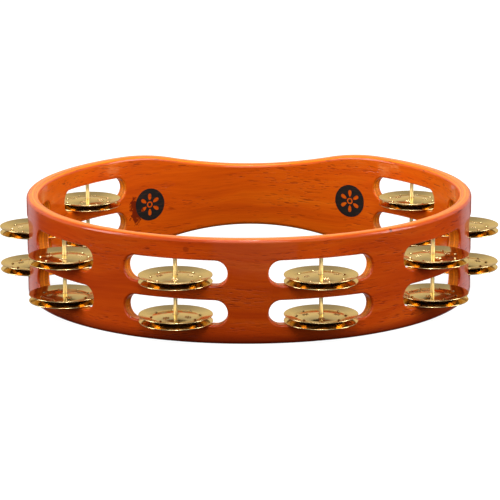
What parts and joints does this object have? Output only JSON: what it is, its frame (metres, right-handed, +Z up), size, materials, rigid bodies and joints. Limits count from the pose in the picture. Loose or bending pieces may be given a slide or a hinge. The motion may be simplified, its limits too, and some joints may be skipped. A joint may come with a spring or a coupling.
{
  "type": "tambourine",
  "caption": "Headless wooden tambourine: a slotted hoop with a narrowed grip and two rows of paired brass jingles on nails.",
  "frame": {"origin": "centre of the footprint's bounding box, on the plane that the hoop stands on; the hoop's own axis is 5.2 mm behind it, because the front jingles stand proud of the hoop", "axes": "+Z up along the hoop's axis, +Y towards the grip, +X to the right when the grip is at the back"},
  "size_m": [0.2868, 0.2642, 0.057],
  "materials": {
    "face_wood": "orange-brown stained face ply with its grain along the hoop, under high-gloss clear lacquer",
    "core_wood": "stained ply edges with fine glue lines, under high-gloss clear lacquer",
    "jingle_brass": "polished pressed sheet brass with small punched marks",
    "pin_brass": "bright brass-plated nail",
    "badge_print": "thin black print with a plain ring pattern left open to the wood"
  },
  "bodies": {
    "hoop": {"hoop_core": "core_wood", "outer_face_ply": "face_wood", "inner_face_ply": "face_wood", "left_badge": "badge_print", "right_badge": "badge_print", "jingle_pin_1": "pin_brass", "jingle_pin_2": "pin_brass", "jingle_pin_3": "pin_brass", "jingle_pin_4": "pin_brass", "jingle_pin_5": "pin_brass", "jingle_pin_6": "pin_brass", "jingle_pin_7": "pin_brass", "jingle_pin_8": "pin_brass"},
    "jingle_low_1_bottom": {"jingle_low_1_bottom": "jingle_brass"},
    "jingle_low_1_top": {"jingle_low_1_top": "jingle_brass"},
    "jingle_low_2_bottom": {"jingle_low_2_bottom": "jingle_brass"},
    "jingle_low_2_top": {"jingle_low_2_top": "jingle_brass"},
    "jingle_low_3_bottom": {"jingle_low_3_bottom": "jingle_brass"},
    "jingle_low_3_top": {"jingle_low_3_top": "jingle_brass"},
    "jingle_low_4_bottom": {"jingle_low_4_bottom": "jingle_brass"},
    "jingle_low_4_top": {"jingle_low_4_top": "jingle_brass"},
    "jingle_low_5_bottom": {"jingle_low_5_bottom": "jingle_brass"},
    "jingle_low_5_top": {"jingle_low_5_top": "jingle_brass"},
    "jingle_low_6_bottom": {"jingle_low_6_bottom": "jingle_brass"},
    "jingle_low_6_top": {"jingle_low_6_top": "jingle_brass"},
    "jingle_low_7_bottom": {"jingle_low_7_bottom": "jingle_brass"},
    "jingle_low_7_top": {"jingle_low_7_top": "jingle_brass"},
    "jingle_low_8_bottom": {"jingle_low_8_bottom": "jingle_brass"},
    "jingle_low_8_top": {"jingle_low_8_top": "jingle_brass"},
    "jingle_high_1_bottom": {"jingle_high_1_bottom": "jingle_brass"},
    "jingle_high_1_top": {"jingle_high_1_top": "jingle_brass"},
    "jingle_high_2_bottom": {"jingle_high_2_bottom": "jingle_brass"},
    "jingle_high_2_top": {"jingle_high_2_top": "jingle_brass"},
    "jingle_high_3_bottom": {"jingle_high_3_bottom": "jingle_brass"},
    "jingle_high_3_top": {"jingle_high_3_top": "jingle_brass"},
    "jingle_high_4_bottom": {"jingle_high_4_bottom": "jingle_brass"},
    "jingle_high_4_top": {"jingle_high_4_top": "jingle_brass"},
    "jingle_high_5_bottom": {"jingle_high_5_bottom": "jingle_brass"},
    "jingle_high_5_top": {"jingle_high_5_top": "jingle_brass"},
    "jingle_high_6_bottom": {"jingle_high_6_bottom": "jingle_brass"},
    "jingle_high_6_top": {"jingle_high_6_top": "jingle_brass"},
    "jingle_high_7_bottom": {"jingle_high_7_bottom": "jingle_brass"},
    "jingle_high_7_top": {"jingle_high_7_top": "jingle_brass"},
    "jingle_high_8_bottom": {"jingle_high_8_bottom": "jingle_brass"},
    "jingle_high_8_top": {"jingle_high_8_top": "jingle_brass"}
  },
  "joints": [
    {"name": "low_1_pair_slide", "type": "slide", "parent": "hoop", "child": "jingle_low_1_bottom", "axis": [0, 0, 1], "range_m": [0, 0.0055]},
    {"name": "low_1_top_slide", "type": "slide", "parent": "jingle_low_1_bottom", "child": "jingle_low_1_top", "axis": [0, 0, 1], "range_m": [0, 0.0034]},
    {"name": "low_2_pair_slide", "type": "slide", "parent": "hoop", "child": "jingle_low_2_bottom", "axis": [0, 0, 1], "range_m": [0, 0.0055]},
    {"name": "low_2_top_slide", "type": "slide", "parent": "jingle_low_2_bottom", "child": "jingle_low_2_top", "axis": [0, 0, 1], "range_m": [0, 0.0034]},
    {"name": "low_3_pair_slide", "type": "slide", "parent": "hoop", "child": "jingle_low_3_bottom", "axis": [0, 0, 1], "range_m": [0, 0.0055]},
    {"name": "low_3_top_slide", "type": "slide", "parent": "jingle_low_3_bottom", "child": "jingle_low_3_top", "axis": [0, 0, 1], "range_m": [0, 0.0034]},
    {"name": "low_4_pair_slide", "type": "slide", "parent": "hoop", "child": "jingle_low_4_bottom", "axis": [0, 0, 1], "range_m": [0, 0.0055]},
    {"name": "low_4_top_slide", "type": "slide", "parent": "jingle_low_4_bottom", "child": "jingle_low_4_top", "axis": [0, 0, 1], "range_m": [0, 0.0034]},
    {"name": "low_5_pair_slide", "type": "slide", "parent": "hoop", "child": "jingle_low_5_bottom", "axis": [0, 0, 1], "range_m": [0, 0.0055]},
    {"name": "low_5_top_slide", "type": "slide", "parent": "jingle_low_5_bottom", "child": "jingle_low_5_top", "axis": [0, 0, 1], "range_m": [0, 0.0034]},
    {"name": "low_6_pair_slide", "type": "slide", "parent": "hoop", "child": "jingle_low_6_bottom", "axis": [0, 0, 1], "range_m": [0, 0.0055]},
    {"name": "low_6_top_slide", "type": "slide", "parent": "jingle_low_6_bottom", "child": "jingle_low_6_top", "axis": [0, 0, 1], "range_m": [0, 0.0034]},
    {"name": "low_7_pair_slide", "type": "slide", "parent": "hoop", "child": "jingle_low_7_bottom", "axis": [0, 0, 1], "range_m": [0, 0.0055]},
    {"name": "low_7_top_slide", "type": "slide", "parent": "jingle_low_7_bottom", "child": "jingle_low_7_top", "axis": [0, 0, 1], "range_m": [0, 0.0034]},
    {"name": "low_8_pair_slide", "type": "slide", "parent": "hoop", "child": "jingle_low_8_bottom", "axis": [0, 0, 1], "range_m": [0, 0.0055]},
    {"name": "low_8_top_slide", "type": "slide", "parent": "jingle_low_8_bottom", "child": "jingle_low_8_top", "axis": [0, 0, 1], "range_m": [0, 0.0034]},
    {"name": "high_1_pair_slide", "type": "slide", "parent": "hoop", "child": "jingle_high_1_bottom", "axis": [0, 0, 1], "range_m": [0, 0.0055]},
    {"name": "high_1_top_slide", "type": "slide", "parent": "jingle_high_1_bottom", "child": "jingle_high_1_top", "axis": [0, 0, 1], "range_m": [0, 0.0034]},
    {"name": "high_2_pair_slide", "type": "slide", "parent": "hoop", "child": "jingle_high_2_bottom", "axis": [0, 0, 1], "range_m": [0, 0.0055]},
    {"name": "high_2_top_slide", "type": "slide", "parent": "jingle_high_2_bottom", "child": "jingle_high_2_top", "axis": [0, 0, 1], "range_m": [0, 0.0034]},
    {"name": "high_3_pair_slide", "type": "slide", "parent": "hoop", "child": "jingle_high_3_bottom", "axis": [0, 0, 1], "range_m": [0, 0.0055]},
    {"name": "high_3_top_slide", "type": "slide", "parent": "jingle_high_3_bottom", "child": "jingle_high_3_top", "axis": [0, 0, 1], "range_m": [0, 0.0034]},
    {"name": "high_4_pair_slide", "type": "slide", "parent": "hoop", "child": "jingle_high_4_bottom", "axis": [0, 0, 1], "range_m": [0, 0.0055]},
    {"name": "high_4_top_slide", "type": "slide", "parent": "jingle_high_4_bottom", "child": "jingle_high_4_top", "axis": [0, 0, 1], "range_m": [0, 0.0034]},
    {"name": "high_5_pair_slide", "type": "slide", "parent": "hoop", "child": "jingle_high_5_bottom", "axis": [0, 0, 1], "range_m": [0, 0.0055]},
    {"name": "high_5_top_slide", "type": "slide", "parent": "jingle_high_5_bottom", "child": "jingle_high_5_top", "axis": [0, 0, 1], "range_m": [0, 0.0034]},
    {"name": "high_6_pair_slide", "type": "slide", "parent": "hoop", "child": "jingle_high_6_bottom", "axis": [0, 0, 1], "range_m": [0, 0.0055]},
    {"name": "high_6_top_slide", "type": "slide", "parent": "jingle_high_6_bottom", "child": "jingle_high_6_top", "axis": [0, 0, 1], "range_m": [0, 0.0034]},
    {"name": "high_7_pair_slide", "type": "slide", "parent": "hoop", "child": "jingle_high_7_bottom", "axis": [0, 0, 1], "range_m": [0, 0.0055]},
    {"name": "high_7_top_slide", "type": "slide", "parent": "jingle_high_7_bottom", "child": "jingle_high_7_top", "axis": [0, 0, 1], "range_m": [0, 0.0034]},
    {"name": "high_8_pair_slide", "type": "slide", "parent": "hoop", "child": "jingle_high_8_bottom", "axis": [0, 0, 1], "range_m": [0, 0.0055]},
    {"name": "high_8_top_slide", "type": "slide", "parent": "jingle_high_8_bottom", "child": "jingle_high_8_top", "axis": [0, 0, 1], "range_m": [0, 0.0034]}
  ]
}
